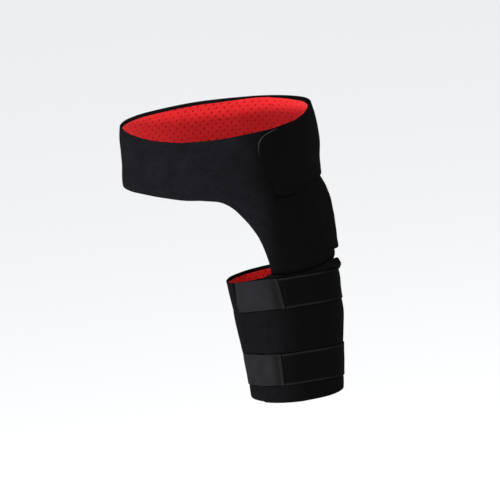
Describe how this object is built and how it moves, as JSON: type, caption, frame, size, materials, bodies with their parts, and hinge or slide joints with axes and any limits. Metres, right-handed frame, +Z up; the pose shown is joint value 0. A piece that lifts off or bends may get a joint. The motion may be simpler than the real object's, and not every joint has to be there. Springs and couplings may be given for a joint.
{
  "type": "hip support brace",
  "caption": "Black neoprene hip brace: a waist belt cut in one with a hip panel, and a tapered thigh wrap with two closing straps, all lined with red perforated cloth.",
  "frame": {"origin": "centre of the waist belt's hollow, at mid height of the belt, where the wearer's hips hold the brace up", "axes": "+Z up along the wearer, -Y towards the wearer's front, +X towards the braced hip (the wearer's left)"},
  "size_m": [0.342, 0.2388, 0.4846],
  "materials": {
    "neoprene": "matte plush-faced neoprene",
    "lining": "matte perforated lining",
    "webbing": "matte woven webbing",
    "tab": "smooth hook-and-loop tab"
  },
  "bodies": {
    "root": {"belt_and_hip_panel": "neoprene", "waist_lining": "lining", "thigh_wrap": "neoprene", "thigh_lining": "lining", "upper_thigh_strap": "webbing", "upper_strap_tab": "tab", "lower_thigh_strap": "webbing", "lower_strap_tab": "tab"}
  },
  "joints": []
}
